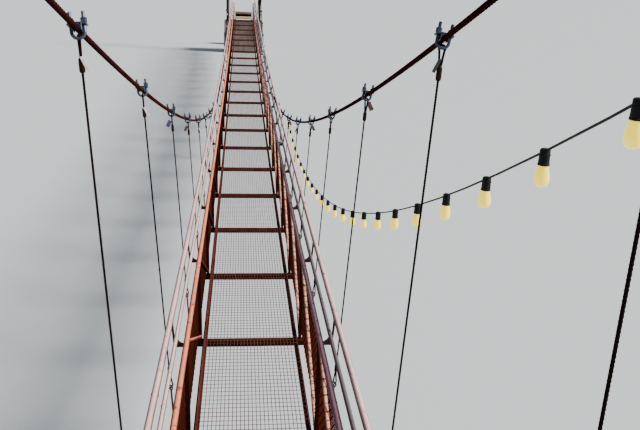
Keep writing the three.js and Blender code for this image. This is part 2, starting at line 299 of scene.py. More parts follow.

# %% [markdown]
# ## Oxide paint
#
# Trusses, rails, beams and towers were painted with red oxide primer, years ago. The tops are
# salmon, partly worn pale by the sun and partly a painted highlight, the sides are brick brown
# and the undersides are nearly black, which is painted shade. It could be one ramp on height, but
# rust breaks through in blotches, so two noises decide where the paint has gone and the
# roughness follows the same mask. Crossbeams, posts and towers get a dark coat that is painted
# shade, and the edge tubes one each: lighter on the left as painted light, nearly black on the
# right as painted shade. The infill strands and the brackets are nearly black, also painted
# shade. On the right the top chord gets a darker, bluer coat, painted shade with a painted sky
# reflection, the middle rail a darker one, painted shade, and the diagonals a paler one, painted
# light, so they have their own colours.

# %% Paint for steel
def paint(name, faded_and_lit, middle, under, rust, gloss, wear=0.5, shine=0.0, faded_and_lit_range=(0.62, 0.97)):
    made = Finish(name, Metallic=0.0, IOR=1.5, Specular_IOR_Level=shine)
    sky = upward(made)
    patches = noise(made, 1.7, 2.0)
    blotches = noise(made, 23.0, 5.0, 0.65)
    grain = noise(made, 420.0, 2.0)
    gone = ramp(blotches + (patches - 0.5) * 0.3, 0.62 - 0.12 * wear, 0.72 - 0.08 * wear)
    # Faces turned up go toward the first colour, partly worn pale by the sun and partly a painted
    # highlight; faces turned down go toward the under colour, which is painted shade.
    colour = blend(ramp(sky + (patches - 0.5) * 0.3, *faded_and_lit_range), middle, faded_and_lit)
    colour = blend(ramp(sky, 0.12, 0.62, 1.0, 0.0), colour, under)
    colour = blend(gone * 0.8, colour, rust)
    colour = blend(ramp(grain, 0.35, 0.65, 0.22, 0.0), colour, rust)
    return made.feed(Base_Color=colour,
                     Roughness=gone * 0.35 + gloss + (blotches - 0.5) * 0.25,
                     Normal=relief(gone * 0.6 + grain * 0.4, 0.35, 0.0012))


OXIDE = paint("oxide_paint", (0.86, 0.29, 0.175), (0.13, 0.024, 0.013), (0.010, 0.004, 0.003),
              (0.055, 0.014, 0.007), 0.34)
# Right diagonals: a paler copy, painted light.
LIT_OXIDE = paint("lit_oxide_paint", (0.86, 0.46, 0.34), (0.20, 0.05, 0.03),
               (0.012, 0.005, 0.004), (0.06, 0.018, 0.010), 0.34)
# Right top chord: darker and bluer, painted shade with a painted sky reflection.
SHADED_OXIDE = paint("shaded_oxide_paint", (0.38, 0.20, 0.25), (0.075, 0.022, 0.024),
              (0.010, 0.004, 0.005), (0.035, 0.011, 0.009), 0.34, shine=0.03)
# Rails: the pale top colour is partly wear and partly a painted highlight.
RAIL = paint("worn_rail_paint", (0.90, 0.60, 0.60), (0.11, 0.038, 0.036), (0.012, 0.006, 0.008),
             (0.09, 0.030, 0.022), 0.28, 0.2, 0.03, (0.68, 0.97))
# Right middle rail: a dark copy, painted shade.
SHADED_RAIL = paint("shaded_rail_paint", (0.15, 0.115, 0.135), (0.040, 0.026, 0.031), (0.010, 0.008, 0.010),
             (0.03, 0.016, 0.014), 0.30, 0.3, 0.03)
# Infill strands: near black, painted shade, with a painted highlight on faces turned up.
DARK = paint("shaded_mesh_paint", (0.085, 0.017, 0.009), (0.020, 0.004, 0.0025),
             (0.004, 0.0012, 0.001), (0.014, 0.004, 0.002), 0.5, faded_and_lit_range=(0.70, 0.95))
# Crossbeams, posts and towers: a dark coat that is painted shade.
SHADE_COAT = paint("deep_shade_oxide_paint", (0.085, 0.020, 0.013), (0.030, 0.007, 0.005),
              (0.005, 0.002, 0.002), (0.020, 0.006, 0.003), 0.42)
# Edge tubes: the left coat is lighter, painted light, and the right one nearly black, painted
# shade.
EDGE = paint("edge_paint", (0.15, 0.034, 0.022), (0.050, 0.011, 0.008),
             (0.006, 0.002, 0.002), (0.030, 0.008, 0.004), 0.42)
SHADED_EDGE = paint("shaded_edge_paint", (0.028, 0.008, 0.008), (0.012, 0.004, 0.004),
                  (0.003, 0.001, 0.001), (0.010, 0.003, 0.002), 0.42)
# Brackets: nearly black, painted shade; the ties on the right diagonals share this paint.
GUSSET = paint("dark_gusset_paint", (0.085, 0.04, 0.035), (0.022, 0.011, 0.010),
               (0.008, 0.005, 0.005), (0.05, 0.02, 0.013), 0.4, shine=0.12)
COATS = (OXIDE, LIT_OXIDE, SHADED_OXIDE, RAIL, SHADED_RAIL, DARK, SHADE_COAT, EDGE, SHADED_EDGE, GUSSET)
print("paints:", ", ".join(coat.name for coat in COATS))

# %% [markdown]
# ## Bare metal, rope, rubber and bulb glass
#
# The deck wires are galvanised and have begun to rust in spots. The cable is a bare wire rope,
# brown with rust, and the hangers are thin dark ropes. Clamps and saddles keep dull zinc with a
# bluish bloom. Each is one metal recipe with its own three colours.

# %% Metals
def metal(name, clean, stained, rust, metallic, gloss, spots, amount, shine=0.0):
    made = Finish(name, Metallic=metallic, Specular_IOR_Level=shine)
    sky = upward(made)
    broad = noise(made, 5.0, 3.0)
    fine = noise(made, spots, 4.0, 0.6)
    colour = blend(ramp(broad + (0.5 - sky) * 0.25, 0.38, 0.66), clean, stained)
    rusty = ramp(fine + (0.5 - sky) * 0.1, 0.66 - amount, 0.78 - amount)
    return made.feed(Base_Color=blend(rusty, colour, rust),
                     Roughness=rusty * 0.3 + gloss + (fine - 0.5) * 0.2,
                     Normal=relief(fine + rusty, 0.25, 0.0006))


WIRE = metal("deck_wire", (0.14, 0.062, 0.054), (0.08, 0.028, 0.023), (0.05, 0.014, 0.009), 0.0,
             0.5, 90.0, 0.18)
CABLE = metal("rusted_rope", (0.030, 0.0075, 0.006), (0.016, 0.004, 0.0035),
              (0.008, 0.002, 0.0015), 0.0, 0.4, 140.0, 0.10)
ROPE = metal("dark_rope", (0.013, 0.006, 0.006), (0.008, 0.005, 0.005), (0.02, 0.008, 0.005), 0.0,
             0.5, 300.0, 0.05)
ROD = metal("dark_steel_rod", (0.035, 0.032, 0.035), (0.022, 0.016, 0.015), (0.04, 0.016, 0.010),
            0.1, 0.42, 120.0, 0.08, shine=0.2)
ZINC = metal("dull_zinc", (0.062, 0.080, 0.125), (0.028, 0.037, 0.060), (0.04, 0.024, 0.02), 0.4,
             0.33, 160.0, 0.04, shine=0.3)
BRONZE = metal("ferrule_bronze", (0.026, 0.010, 0.008), (0.014, 0.007, 0.005),
               (0.008, 0.004, 0.003), 0.0, 0.4, 200.0, 0.05, shine=0.05)
print("metals:", ", ".join(kind.name for kind in (WIRE, CABLE, ROPE, ROD, ZINC, BRONZE)))

# %% [markdown]
# ## Ways to make shapes
#
# Nearly everything on a bridge is a section carried along a path: tubes, wires, ropes, bars and
# rods. Curves could do that too, but a bridge has thousands of them, so Shape gathers many
# sweeps into one mesh, which stays light. A section is a list of points round the path, and
# square bars get their corners taken off, as rolled steel has.

# %% Sections and small sums
def circle(radius, sides=16):
    turn = np.arange(sides) * 2 * math.pi / sides
    return np.stack([np.cos(turn), np.sin(turn)], 1) * radius


def rolled(width, depth, corner):
    """A rectangle with its corners taken off."""
    w, d = width / 2, depth / 2
    spots = [(w, d - corner), (w - corner, d), (corner - w, d), (-w, d - corner),
             (-w, corner - d), (corner - w, -d), (w - corner, -d), (w, corner - d)]
    return np.array(spots)


def lobed(radius, lobes, steps=3, depth=0.12):
    """A rope's outline: one bump for each strand or wire round it."""
    turn = np.arange(lobes * steps) * 2 * math.pi / (lobes * steps)
    reach = radius * (1 - depth * (0.5 - 0.5 * np.cos(lobes * turn)))
    return np.stack([np.cos(turn), np.sin(turn)], 1) * reach[:, None]


def arc(radius, first, last, count):
    """Sine and cosine of an arc's points, times its radius."""
    turn = np.linspace(first, last, count)
    return np.stack([np.sin(turn), np.cos(turn)], 1) * radius


def unit(rows):
    """One vector or many, brought to length one."""
    return rows / np.linalg.norm(rows, axis=-1, keepdims=True)


def run_along(path):
    """Length of a path up to each of its points."""
    return np.r_[0, np.cumsum(np.linalg.norm(np.diff(path, axis=0), axis=1))]


print("sections: circle, rolled, lobed")


# %% Shape, which gathers many sweeps
class Shape:
    """Points and faces of many sweeps, which end up as one mesh."""

    def __init__(self):
        self.points, self.quads, self.caps, self.count = [], [], [], 0

    def add(self, points, quads, caps=()):
        self.points.append(np.asarray(points, float).reshape(-1, 3))
        self.quads.append(np.asarray(quads, int).reshape(-1, 4) + self.count)
        self.caps += [tuple(k + self.count for k in cap) for cap in caps]
        self.count += len(self.points[-1])
        return self

    def sweep(self, path, section, up=(0, 0, 1), twist=0.0, ease=0.0, closed=False):
        """Carries a section along a path; twist is in turns per metre."""
        path = np.asarray(path, float)
        across, over = self.frames(path, np.asarray(up, float), closed)
        size = np.ones(len(path))
        if ease:
            path, across, over, size = self.eased(path, across, over, section, ease)
        turn = 2 * math.pi * twist * run_along(path)
        c, s = np.cos(turn)[:, None], np.sin(turn)[:, None]
        x = (section[None, :, 0] * c - section[None, :, 1] * s) * size[:, None]
        z = (section[None, :, 0] * s + section[None, :, 1] * c) * size[:, None]
        rings = path[:, None] + across[:, None] * x[..., None] + over[:, None] * z[..., None]
        return self.skin(rings, closed)

    def frames(self, path, up, closed):
        """The directions across and over the path at each of its points."""
        step = np.diff(path, axis=0)
        if closed:
            step = unit(np.vstack([step, path[:1] - path[-1:]]))
            ahead = unit(step + np.roll(step, 1, axis=0))
        else:
            step = unit(step)
            ahead = unit(np.vstack([step[:1], step[:-1] + step[1:], step[-1:]]))
        across = unit(np.cross(ahead, up))
        return across, np.cross(across, ahead)

    def eased(self, path, across, over, section, ease):
        """Takes the sharp rim off both ends."""
        first, last = unit(path[1] - path[0]) * ease, unit(path[-1] - path[-2]) * ease
        path = np.vstack([path[:1], path[:1] + first, path[1:-1], path[-1:] - last, path[-1:]])
        across, over = (np.pad(rows, ((1, 1), (0, 0)), "edge") for rows in (across, over))
        size = np.ones(len(path))
        size[[0, -1]] = 1 - ease / np.abs(section).max()
        return path, across, over, size

    def skin(self, rings, closed=False):
        """Joins rings of points by quads, and closes the two ends or the loop."""
        rows, around = rings.shape[:2]
        grid = np.arange(rows * around).reshape(rows, around)
        if closed:
            grid = np.vstack([grid, grid[:1]])
        near, far = grid[:-1], grid[1:]
        quads = np.stack([near, np.roll(near, -1, 1), np.roll(far, -1, 1), far], -1)
        caps = [] if closed else [tuple(grid[0]), tuple(grid[-1][::-1])]
        return self.add(rings, quads, caps)

    def turned(self, profile, origin, axis=(0, 0, 1), sides=16):
        """Spins a profile of (radius, distance) pairs round an axis."""
        turn = np.array(Vector(axis).normalized().to_track_quat("Z", "Y").to_matrix())
        rings = [[(x, y, along) for x, y in circle(radius, sides)] for radius, along in profile]
        return self.skin(np.asarray(rings) @ turn.T + np.asarray(origin))

    def copies(self, pattern, matrices):
        """Adds a moved copy of another shape for each matrix."""
        points, quads = np.vstack(pattern.points), np.vstack(pattern.quads)
        for matrix in matrices:
            m = np.array(matrix)
            self.add(points @ m[:3, :3].T + m[:3, 3], quads, pattern.caps)

    def piece(self, name, material, slot, *nodes, smooth=32):
        """Makes the mesh, rides it on the bridge and hides the solids it stands for."""
        mesh = bpy.data.meshes.new(name)
        faces = np.vstack(self.quads).tolist() + [list(cap) for cap in self.caps]
        mesh.from_pydata(np.vstack(self.points).tolist(), [], faces)
        mesh.shade_smooth()
        mesh.set_sharp_from_angle(angle=math.radians(smooth))
        mesh.materials.append(material)
        made = placed(name, mesh)
        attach(made, "root")
        if nodes:
            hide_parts(*nodes)
        tally[name] = sum(len(face) - 2 for face in faces)
        print(f"{name}: {tally[name]} triangles")
        return made


tally = {}

# %% [markdown]
# ## The light string
#
# A black rubber wire hangs from the near tower to the right main cable, with a lamp about every
# 40 cm. It sags freely, and its route is the parabola of the solids. The sockets are moulded
# rubber, a little wider at the foot, with the wire through their upper third, and the bulbs are
# pear shaped and lit.

# %% Route of the wire
CABLE_RADIUS, STRING_RADIUS = 0.0105, 0.003
STRING_START, STRING_END_Y, STRING_SAG = np.array((0.6163, -16.56, 4.628)), -6.264, 0.910
ROUTE_STEPS = 38


def string_point(t):
    """A point of the wire, from 0 at the tower to 1 beside the cable."""
    beside = cable_x(STRING_END_Y) + CABLE_RADIUS * 1.14 + STRING_RADIUS + GAP
    end = np.array((beside, STRING_END_Y, cable_z(STRING_END_Y)))
    point = STRING_START + (end - STRING_START) * t
    point[2] -= 4 * STRING_SAG * t * (1 - t)
    return point


route = np.array([string_point(k / ROUTE_STEPS) for k in range(ROUTE_STEPS + 1)])

# %% Lamp places, one each 0.4 m of wire
LAMP_FIRST, LAMP_PITCH, LAST_SHARE, FINE_STEPS = 0.152, 0.4, 0.98, 2000


def lamp_places():
    count = round(LAST_SHARE * FINE_STEPS) + 1
    fine = np.array([string_point(k / FINE_STEPS) for k in range(count)])
    places = []
    for point, run in zip(fine[1:], run_along(fine)[1:]):
        if run >= LAMP_FIRST + LAMP_PITCH * len(places):
            places.append(point)
    return places


lamps = lamp_places()
print(len(lamps), "lamps")

# %% Rubber, and the light of a bulb
def rubber():
    made = Finish("black_rubber", Metallic=0.0, Specular_IOR_Level=0.2)
    dust = noise(made, 160.0, 3.0)
    colour = blend(ramp(dust * upward(made), 0.3, 0.6), (0.003, 0.003, 0.0035),
                   (0.011, 0.010, 0.011))
    return made.feed(Base_Color=colour, Roughness=dust * 0.3 + 0.4,
                     Normal=relief(dust, 0.15, 0.0004))


def lit_glass():
    """Opal glass, brighter and whiter low in the bulb where the lamp burns."""
    made = Finish("lit_opal_glass", Metallic=0.0, Coat_Roughness=0.06, Emission_Strength=1.25)
    cloud = noise(made, 60.0, 2.0)
    low = (1 - upward(made)) * 0.8 + cloud * 0.3
    return made.feed(Base_Color=blend(cloud, (0.78, 0.60, 0.04), (0.84, 0.70, 0.09)),
                     Emission_Color=blend(low, (0.95, 0.62, 0.02), (1.0, 0.82, 0.09)),
                     Roughness=cloud * 0.15 + 0.12, Coat_Weight=cloud * 0.2 + 0.35,
                     Normal=relief(cloud, 0.05, 0.0005))


RUBBER, OPAL = rubber(), lit_glass()
print("finishes:", RUBBER.name, OPAL.name)

# %% Wire, sockets and bulbs
SOCKET = [(0.0005, 0.0062), (0.0085, 0.0060), (0.0112, 0.0046), (0.0121, 0.002), (0.0124, -0.007),
          (0.0136, -0.0074), (0.0136, -0.0092), (0.0124, -0.0098), (0.0130, -0.0280),
          (0.0138, -0.0288), (0.0138, -0.0322), (0.0120, -0.0328), (0.0005, -0.0328)]
BULB = [(0.0112, -0.0310), (0.0126, -0.0370), (0.0144, -0.0440), (0.0162, -0.0515),
        (0.0175, -0.0590), (0.0179, -0.0650), (0.0174, -0.0708), (0.0157, -0.0762),
        (0.0125, -0.0804), (0.0077, -0.0829), (0.0004, -0.0838)]
sockets, bulbs = Shape(), Shape()
for place in lamps:
    sockets.turned(SOCKET, place, sides=24)
    bulbs.turned(BULB, place, sides=28)
wire_shape = Shape().sweep(route, circle(STRING_RADIUS, 12))
wire = wire_shape.piece("light_wire", RUBBER, "light_string", "light_string")
socket_set = sockets.piece("lamp_sockets", RUBBER, "light_string")
bulb_set = bulbs.piece("lamp_bulbs", OPAL, "light_string", smooth=60)

# %% [markdown]
# ## The studio
#
# A plain pale floor and soft light stand in for the place. The light in the photograph comes
# from the right, a third of the way up the sky, so the key light does too. It is a sun lamp
# with a wide angle, because an area lamp that lights forty metres evenly would have to be
# enormous. The world adds an even pale light.

# %% Floor, key light and sky
def studio():
    bpy.ops.mesh.primitive_grid_add(x_subdivisions=4, y_subdivisions=4, size=700,
                                    location=(0, 0, -0.002))
    floor = bpy.context.object
    floor.name = "studio_floor"
    pale = Finish("studio_floor", Roughness=0.9, Base_Color=(0.56, 0.60, 0.64, 1))
    floor.data.materials.append(pale.material)
    floor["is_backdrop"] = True
    sun = bpy.data.lights.new("key", "SUN")
    sun.energy, sun.angle, sun.color = 8.5, math.radians(15), (1.0, 0.95, 0.88)
    towards = Vector((0.80, -0.20, 0.56))
    placed("key", sun).rotation_euler = towards.to_track_quat("Z", "Y").to_euler()
    world = bpy.data.worlds.new("soft_room")
    world.use_nodes = True
    sky_colour, sky_strength = world.node_tree.nodes["Background"].inputs[:2]
    sky_colour.default_value, sky_strength.default_value = (0.80, 0.88, 1.0, 1), 0.27
    bpy.context.scene.world = world


studio()
print("studio ready")

# %% [markdown]
# ## Deck mesh
#
# The walkway is welded mesh cut to lie on the edge tubes. It has 29 wires one inch apart along
# the bridge, and others two inches apart across it. Real mesh comes in sheets and never lies
# quite straight, so each lengthwise wire wanders by half a millimetre. A texture with holes
# would be lighter, but the wires show one by one near the camera and against the light, so
# they are real.

# %% Welded wires
WIRES, ALONG_PITCH, CROSS_PITCH, WIRE_RADIUS, CROSS_RADIUS = 29, 0.0254, 0.0508, 0.0023, 0.0017
wobble = np.random.default_rng(4)


def deck_wires(first, last):
    made = Shape()
    for k in range(WIRES):
        line = np.array(sag_line(first, last, (k - WIRES // 2) * ALONG_PITCH, -WIRE_RADIUS))
        line[1:-1, 0] += wobble.normal(0, 0.0007, len(line) - 2)
        made.sweep(line, circle(WIRE_RADIUS, 6))
    for y in np.arange(station(first) + 0.02, station(last) - 0.02, CROSS_PITCH):
        line = [(x, y + wobble.normal(0, 0.0008), deck_z(y) - 0.0045)
                for x in np.linspace(-0.358, 0.358, 5)]
        made.sweep(line, circle(CROSS_RADIUS, 6))
    return made


for part, (first, last) in PARTS.items():
    deck_wires(first, last).piece(f"deck_wires_{part}", WIRE, "mesh_wire", f"deck_mesh_{part}")

# %% [markdown]
# ## Deck frame
#
# The mesh lies on a round tube along each edge, and a square tube crosses under both at every
# station, welded to them. The weld is a small bead that follows the round tube. Crossbeams
# near the towers are longer, because the hangers there come down further out. Each beam is one
# sweep between closed ends, tipped with the slope of the deck. The edge tubes are sweeps of their
# own, because each has its own coat: the left one lighter, as painted light, and the right one
# nearly black, as painted shade.

# %% Tubes and welds
def long_tube(first, last, half, up, radius=TUBE, ease=0.001):
    """A round tube that follows the deck from station to station."""
    return Shape().sweep(sag_line(first, last, half, up), circle(radius, 20), ease=ease)


def hoop(shape, centre, axis, radius, thick, sides=20, around=8):
    """A ring of weld or wire round a tube."""
    axis = Vector(axis).normalized()
    side = axis.orthogonal().normalized()
    other = axis.cross(side)
    ring = [Vector(centre) + side * a + other * b for a, b in circle(radius, sides)]
    shape.sweep(ring, circle(thick, around), up=axis, closed=True)


def square_weld(shape, centre, across, over, thick, up=(0, 0, 1)):
    """A bead round a square bar, at half a side across and half a side over its centre."""
    ring = [np.array(centre) + np.array(across) * a + np.array(over) * b
            for a, b in ((-1, -1), (1, -1), (1, 1), (-1, 1))]
    shape.sweep(ring, circle(thick, 6), up=up, closed=True)


def under_weld(shape, x, y, z):
    """A bead round the lower half of an edge tube."""
    bead = [(x + a, y, z - b) for a, b in arc(0.0172, -1.15, 1.15, 9)]
    shape.sweep(bead, circle(0.0035, 6), up=(0, 1, 0))


print("long tubes and three kinds of weld")

# %% Edge tubes and crossbeams
BEAM_DROP, BEAM, EDGE_DROP = 0.034, 0.05, 0.0213


def crossbeams(first, last):
    made = Shape()
    for i in own_stations(first, last):
        y = station(i)
        tilt = math.atan(climb(DECK_RISE, y))
        over = np.array((0, -math.sin(tilt), math.cos(tilt)))
        centre = (0, y, deck_z(y) - BEAM_DROP) - over * BEAM / 2
        half = foot_half(i) + 0.038
        made.sweep([centre - (half, 0, 0), centre + (half, 0, 0)], rolled(BEAM, BEAM, 0.005),
                   up=over, ease=0.002)
        for side in (-1, 1):
            for face in (-1, 1):
                under_weld(made, side * EDGE_X, y + face * 0.0258, deck_z(y) - EDGE_DROP)
    return made


# The crossbeams get the dark coat that is painted shade.
for part, (first, last) in PARTS.items():
    whole = f"deck_frame_{part}"
    crossbeams(first, last).piece(f"crossbeams_{part}", SHADE_COAT, "frame_paint", whole)
    # Left tube lighter as painted light, right tube nearly black as painted shade.
    for name, coat in (("left", EDGE), ("right", SHADED_EDGE)):
        tube = long_tube(first, last, SIDES[name] * EDGE_X, -EDGE_DROP, ease=0.002)
        tube.piece(f"edge_tube_{name}_{part}", coat, "frame_paint", whole)

# %% [markdown]
# ## Side trusses
#
# Each side is a truss: a round top chord, a square post at each station and one round diagonal
# in each bay, sloping one way on the left and the other on the right. Its bottom chord is the
# edge tube of the deck. The posts stand on the crossbeams just outside that tube, welded all
# round, and two stand back to back at midspan, where the halves meet. On the right side dark
# wire is tied round the diagonals, which holds the infill. Bars are sweeps, and ties and welds
# are hoops.

# %% Top chords, posts and diagonals
TOP_X, TOP_UP, FOOT_UP, ROUND_BAR = 0.386, 0.652, -0.010, 0.0125


def top_chord(first, last, side):
    """The top chord alone, so that each side can have its own coat, with its butt welds."""
    made = long_tube(first, last, side * TOP_X, TOP_UP)
    for i in range(first, last):
        before, after = np.array(sag_line(i, i + 1, side * TOP_X, TOP_UP))
        hoop(made, before + (after - before) * 0.48, after - before, TUBE, 0.0016, 20, 6)
    return made


def post_point(i, first, side, up):
    """A point on the line of a post; each half of the bridge has its own post at midspan."""
    apart = 0 if i != MIDSPAN else 0.0128 if first == MIDSPAN else -0.0128
    return np.array((side * TOP_X, station(i) + apart, deck_z(station(i)) + up))


def posts(first, last, side):
    """Posts with a square of weld at the foot and a ring of it at the head."""
    made = Shape()
    for i in range(first, last + 1):
        foot = post_point(i, first, side, 0.0012 - BEAM_DROP)
        head = post_point(i, first, side, TOP_UP)
        made.sweep([foot, head], rolled(0.025, 0.025, 0.003), up=(0, 1, 0))
        square_weld(made, foot + (0, 0, 0.0012), (0.0138, 0, 0), (0, 0.0138, 0), 0.003)
        hoop(made, head - (0, 0, 0.0165), (0, 0, 1), 0.0155, 0.003, 12, 6)
    return made


def diagonal(i, first, side):
    """Head and foot of the diagonal in bay i."""
    high, low = (i, i + 1) if side < 0 else (i + 1, i)
    return (post_point(high, first, side, TOP_UP - 0.004),
            post_point(low, first, side, FOOT_UP))


def diagonals(first, last, side):
    made = Shape()
    for i in range(first, last):
        head, foot = diagonal(i, first, side)
        made.sweep([head, foot], circle(ROUND_BAR, 16))
        lean = unit(foot - head)
        hoop(made, foot - lean * 0.032, lean, ROUND_BAR, 0.003, 14, 6)
    return made


def ties(first, last):
    """Wire wound twice round each right diagonal, about every 10 cm."""
    made = Shape()
    for i in range(first, last):
        head, foot = diagonal(i, first, 1)
        for down in np.linspace(0.05, 0.95, 14):
            for turn in (-0.0016, 0.0016):
                hoop(made, head + (foot - head) * (down + turn), foot - head, 0.0129, 0.0014, 12, 5)
    return made


print("truss bars ready")

# %% [markdown]
# ## Brackets
#
# At each station a plate cut from 12 mm steel reaches out from the top chord to the middle rail
# and leans on outward to the hand rail. Between chord and rail it is a gusset with a hollow
# top edge. The plates look nearly black, so they get a darker paint than the bars, which is
# painted shade. The outline is an arc and a few corners, and its rim is dressed by a slightly
# smaller ring on each face.

# %% Bracket plates
HOLLOW_X, HOLLOW_UP, HOLLOW = 0.394, 0.6804, 0.044


def bracket_outline():
    """From the chord along the foot, up the leaning upright and back along the hollow."""
    hollow = [(HOLLOW_X + b, HOLLOW_UP - a) for a, b in arc(HOLLOW, 0, math.pi / 2, 9)]
    corners = [(HOLLOW_X, 0.616), (0.460, 0.616), (0.476, 0.7985), (0.462, 0.7985),
               (0.4536, HOLLOW_UP)]
    return np.array(corners + hollow)


def inset(outline, depth):
    """The outline moved inward, corner by corner."""
    ahead = unit(np.roll(outline, -1, 0) - np.roll(outline, 1, 0))
    return outline + np.stack([-ahead[:, 1], ahead[:, 0]], 1) * depth


def bracket_plate(made, i, side):
    y, z = station(i), deck_z(station(i))
    outline = bracket_outline()
    inner = inset(outline, 0.0014)
    faces = ((inner, -0.006), (outline, -0.0046), (outline, 0.0046), (inner, 0.006))
    made.skin(np.array([[(side * x, y + depth * side, z + up) for x, up in shape]
                        for shape, depth in faces]))


for name, part, side, first, last in quarters():
    plates = Shape()
    for i in own_stations(first, last):
        bracket_plate(plates, i, side)
    end, whole = f"{name}_{part}", f"side_truss_{name}_{part}"
    # On the right the top chord's darker coat is painted shade and the diagonals' paler coat is
    # painted light.
    chord_coat, bar_coat = (OXIDE, OXIDE) if side < 0 else (SHADED_OXIDE, LIT_OXIDE)
    top_chord(first, last, side).piece(f"top_chord_{end}", chord_coat, "frame_paint", whole)
    posts(first, last, side).piece(f"posts_{end}", SHADE_COAT, "frame_paint", whole)
    diagonals(first, last, side).piece(f"diagonals_{end}", bar_coat, "frame_paint", whole)
    plates.piece(f"brackets_{end}", GUSSET, "frame_paint", whole)
for part, (first, last) in PARTS.items():
    ties(first, last).piece(f"ties_right_{part}", GUSSET, "frame_paint")

# %% [markdown]
# ## Rails
#
# The hand rail and the thinner rail inside it are tubes joined end to end every six metres, at
# places that differ from rail to rail. A joint is a weld that stands a little proud, so it is a
# hoop. A small ring of weld also holds each rail on its bracket.

# %% Hand rails and middle rails
RAILS = {"hand_rail": (0.468, 0.816, TUBE), "mid_rail": (0.441, 0.693, 0.012)}
FIRST_JOINT = {("hand_rail", -1): -13.2, ("mid_rail", -1): -13.1, ("hand_rail", 1): -12.39,
               ("mid_rail", 1): -14.2}


def rail(first, last, side, half, up, radius, first_joint):
    made = long_tube(first, last, side * half, up, radius)
    for y in np.arange(first_joint, HALF, 6.0):
        if station(first) < y < station(last):
            hoop(made, (side * half, y, deck_z(y) + up), (0, 1, climb(DECK_RISE, y)), radius,
                 0.0022, 20, 6)
    for i in range(first, last):
        y = station(i) + (0.004 if i == MIDSPAN else 0)
        hoop(made, (side * half, y, deck_z(y) + up - radius), (0, 0, 1), 0.007, 0.0025, 12, 5)
    return made


for kind, sizes in RAILS.items():
    for name, part, side, first, last in quarters():
        # The right middle rail's dark coat is painted shade.
        coat = SHADED_RAIL if (kind, name) == ("mid_rail", "right") else RAIL
        tube = rail(first, last, side, *sizes, FIRST_JOINT[kind, side])
        tube.piece(f"{kind}_tube_{name}_{part}", coat, "rail_paint", f"{kind}_{name}_{part}")

# %% [markdown]
# ## Expanded metal infill
#
# The sides are closed with expanded metal: a steel sheet that is slit and pulled open, so that
# its strands form diamonds and stand at an angle, like a louvre. Seen along the bridge it is
# nearly shut. A flat sheet with painted diamonds would miss that, so each strand is a tilted
# bar of its own, and arrays make the thousands of them at once.

# %% Strands
DIAMOND_LONG, DIAMOND_HIGH, ROWS = 0.0761, 0.0325, 19
INFILL_X, INFILL_LOW = 0.4018, -0.0035


def infill(first, last, side):
    """A bar from every second crossing to the next one ahead and up, and ahead and down."""
    columns = round((station(last) - station(first)) / (DIAMOND_LONG / 2))
    step = (station(last) - station(first)) / columns
    column, row = np.meshgrid(np.arange(columns), np.arange(ROWS + 1), indexing="ij")
    spots = ([], [])
    for rise in (1, -1):
        kept = ((column + row) % 2 == 0) & (row + rise >= 0) & (row + rise <= ROWS)
        for far in (0, 1):
            y = station(first) + (column[kept] + far) * step
            up = INFILL_LOW + (row[kept] + far * rise) * DIAMOND_HIGH
            spots[far].append(np.stack([np.full(len(y), side * INFILL_X), y, deck_z(y) + up], -1))
    wide, thick = np.array((-side * 0.0022, 0, 0.0026)), np.array((side * 0.0009, 0, 0.0008))
    corners = np.array([wide + thick, wide - thick, -wide - thick, thick - wide])
    rings = np.concatenate([np.vstack(ends)[:, None] + corners for ends in spots], 1)
    faces = np.array([[0, 1, 5, 4], [1, 2, 6, 5], [2, 3, 7, 6], [3, 0, 4, 7]])
    return Shape().add(rings, faces + (np.arange(len(rings)) * 8)[:, None, None])


# The strands get the near-black coat that is painted shade.
for name, part, side, first, last in quarters():
    infill(first, last, side).piece(f"strands_{name}_{part}", DARK, "expanded_metal",
                                    f"infill_mesh_{name}_{part}")

# %% [markdown]
# ## Main cables
#
# Each cable is one wire rope from anchor to anchor. It is laid up of six strands, whose bumps
# show against the light every 23 mm, so the outline has six lobes and turns once in 137 mm.
# That is fine work over forty metres, so the rings stand close only along the near third, and
# twice as far apart beyond. The same rope bends over the saddles and runs down the backstays.

# %% Cable path
ANCHOR_OUT, ANCHOR_UP, SADDLE = 3.18, 0.60, 0.18
CLOSE_RINGS, WIDE_RINGS, CLOSE_END_Y, LAY = 0.0085, 0.0165, -6, 0.137


def saddle_bend(end):
    """The arc over a saddle, from the slope of the span to that of the backstay."""
    span = math.atan(climb(CABLE_RISE, HALF))
    back = math.atan2(TOWER_TOP - ANCHOR_UP, ANCHOR_OUT - TOWER_OUT)
    return np.array([(end * (TOWER + a), TOWER_TOP - SADDLE + b)
                     for a, b in arc(SADDLE, -span, back, 17)])


def cable_path(side):
    ys = np.r_[np.arange(-HALF + 0.09, CLOSE_END_Y, CLOSE_RINGS),
               np.arange(CLOSE_END_Y, HALF - 0.08, WIDE_RINGS)]
    middle = np.stack([side * cable_x(ys), ys, cable_z(ys)], -1)
    ends = {}
    for end in (-1, 1):
        bend = saddle_bend(end)
        run = (end * (HALF + ANCHOR_OUT), ANCHOR_UP) - bend[-1]
        count = int(np.linalg.norm(run) / WIDE_RINGS)
        line = np.vstack([bend, bend[-1] + run * np.linspace(0, 1, count + 1)[1:, None]])
        ends[end] = np.column_stack([np.full(len(line), side * CABLE_END_X), line])
    return np.vstack([ends[-1][::-1], middle, ends[1]])


for name, side in SIDES.items():
    strand = Shape().sweep(cable_path(side), lobed(0.0108, 6, depth=0.17), twist=1 / LAY)
    strand.piece(f"strand_{name}", CABLE, "cable", f"backstay_near_{name}",
                 f"backstay_far_{name}", f"main_cable_{name}_near", f"main_cable_{name}_far")

# %% [markdown]
# ## Clamps
#
# A hanger hangs from a U bolt whose bow passes under the cable. A cast saddle hugs the top of
# the cable, and its wings take the two legs, each with a nut and a locknut that pull it tight.
# One clamp is built with care at the origin and copied to all 46 places. Each is turned to the
# slope of its cable, and leans a little, because the hanger pulls on its bow.

